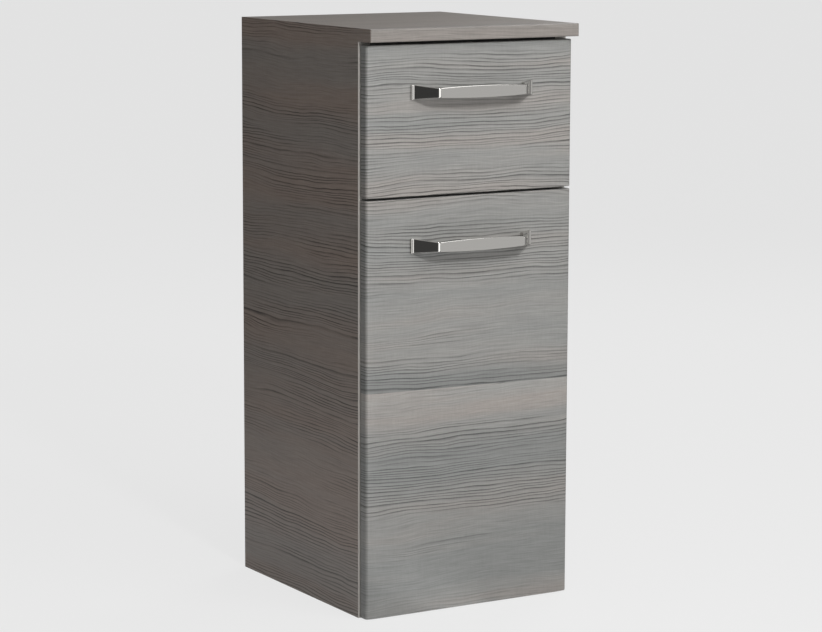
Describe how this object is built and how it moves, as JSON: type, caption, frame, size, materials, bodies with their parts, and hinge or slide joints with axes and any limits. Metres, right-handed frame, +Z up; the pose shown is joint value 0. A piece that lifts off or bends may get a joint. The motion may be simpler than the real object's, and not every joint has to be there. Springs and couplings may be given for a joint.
{
  "type": "bathroom base cabinet",
  "caption": "Narrow wall-hung bathroom base cabinet: a drawer over a door with bow handles, under an overhanging top plate.",
  "frame": {"origin": "centre of the box's bottom face: middle of the width, middle of the depth from handles to wall face, at the underside", "axes": "+X to the right seen from the front, +Y towards the wall, +Z up; the fronts face -Y"},
  "size_m": [0.3, 0.351, 0.73],
  "materials": {
    "front_laminate": "grey larch decor, satin laminate with rounded upright edges",
    "side_laminate": "grey larch decor, satin laminate",
    "plate_laminate": "grey larch decor, satin laminate",
    "plate_band": "grey larch decor edge band",
    "inside_laminate": "plain grey laminate on chipboard",
    "edge_band": "plastic edge band",
    "hardboard": "lacquered hardboard",
    "drawer_board": "foil wrapped board",
    "drawer_bottom_board": "lacquered hardboard",
    "beech": "fluted beech",
    "handle_chrome": "polished chrome on cast zinc",
    "nickel_steel": "nickel plated steel",
    "runner_steel": "bright zinc plated steel",
    "zinc_steel": "zinc plated steel",
    "ball_steel": "polished bearing steel",
    "cast_zinc": "bare zinc casting",
    "bumper": "soft clear plastic"
  },
  "bodies": {
    "carcass": {"left_side_panel": "side_laminate", "right_side_panel": "side_laminate", "left_side_front_band": "edge_band", "right_side_front_band": "edge_band", "bottom_panel": "inside_laminate", "bottom_front_band": "edge_band", "divider_panel": "inside_laminate", "divider_front_band": "edge_band", "top_rail_front": "inside_laminate", "top_rail_rear": "inside_laminate", "hanging_rail": "inside_laminate", "back_panel": "hardboard", "top_plate": "plate_laminate", "top_plate_front_band": "plate_band", "top_plate_screws": "zinc_steel", "carcass_dowels": "beech", "cam_bolts": "zinc_steel", "cam_discs": "cast_zinc", "shelf": "inside_laminate", "shelf_front_band": "edge_band", "shelf_pins": "zinc_steel", "left_runner_outer": "runner_steel", "right_runner_outer": "runner_steel", "runner_cabinet_screws": "zinc_steel", "hinge_arms": "nickel_steel", "hinge_arm_pins": "nickel_steel", "hinge_mounting_plates": "nickel_steel", "hinge_plate_screws": "zinc_steel", "hinge_adjusting_screws": "zinc_steel"},
    "drawer": {"drawer_front": "front_laminate", "drawer_handle": "handle_chrome", "drawer_handle_screws": "zinc_steel", "drawer_left_side": "drawer_board", "drawer_right_side": "drawer_board", "drawer_inner_front": "drawer_board", "drawer_back": "drawer_board", "drawer_bottom": "drawer_bottom_board", "drawer_dowels": "beech", "drawer_front_screws": "zinc_steel", "drawer_bumpers": "bumper", "left_runner_inner": "runner_steel", "right_runner_inner": "runner_steel", "runner_drawer_screws": "zinc_steel"},
    "runner_middles": {"runner_middles": "runner_steel"},
    "outer_cages": {"outer_ball_cages": "runner_steel", "outer_cage_balls": "ball_steel"},
    "inner_cages": {"inner_ball_cages": "runner_steel", "inner_cage_balls": "ball_steel"},
    "long_links": {"hinge_long_links": "nickel_steel"},
    "short_links": {"hinge_short_links": "nickel_steel"},
    "door": {"door_panel": "front_laminate", "door_handle": "handle_chrome", "door_handle_screws": "zinc_steel", "door_bumpers": "bumper", "hinge_cups": "nickel_steel", "hinge_cup_pins": "nickel_steel", "hinge_cup_screws": "zinc_steel"}
  },
  "joints": [
    {"name": "drawer_slide", "type": "slide", "parent": "carcass", "child": "drawer", "axis": [0, -1, 0], "range_m": [0, 0.24]},
    {"name": "runner_middle_slide", "type": "slide", "parent": "carcass", "child": "runner_middles", "axis": [0, -1, 0], "range_m": [0, 0.12]},
    {"name": "outer_cage_slide", "type": "slide", "parent": "carcass", "child": "outer_cages", "axis": [0, -1, 0], "range_m": [0, 0.06]},
    {"name": "inner_cage_slide", "type": "slide", "parent": "carcass", "child": "inner_cages", "axis": [0, -1, 0], "range_m": [0, 0.18]},
    {"name": "door_hinge", "type": "hinge", "parent": "long_links", "child": "door", "pos_m": [0.1392, -0.1335, 0.2615], "axis": [0, 0, 1], "range_deg": [0, 118.8]},
    {"name": "long_link_swing", "type": "hinge", "parent": "carcass", "child": "long_links", "pos_m": [0.104, -0.1115, 0.2615], "axis": [0, 0, 1], "range_deg": [-23.8, 0]},
    {"name": "short_link_swing", "type": "hinge", "parent": "carcass", "child": "short_links", "pos_m": [0.1209, -0.1353, 0.2615], "axis": [0, 0, 1], "range_deg": [-43.4, 0]}
  ],
  "couplings": [
    {"joint": "runner_middle_slide", "follows": "drawer_slide", "ratio": 0.5},
    {"joint": "outer_cage_slide", "follows": "drawer_slide", "ratio": 0.25},
    {"joint": "inner_cage_slide", "follows": "drawer_slide", "ratio": 0.75},
    {"joint": "long_link_swing", "follows": "door_hinge", "ratio": -0.20034},
    {"joint": "short_link_swing", "follows": "door_hinge", "ratio": -0.36532}
  ]
}
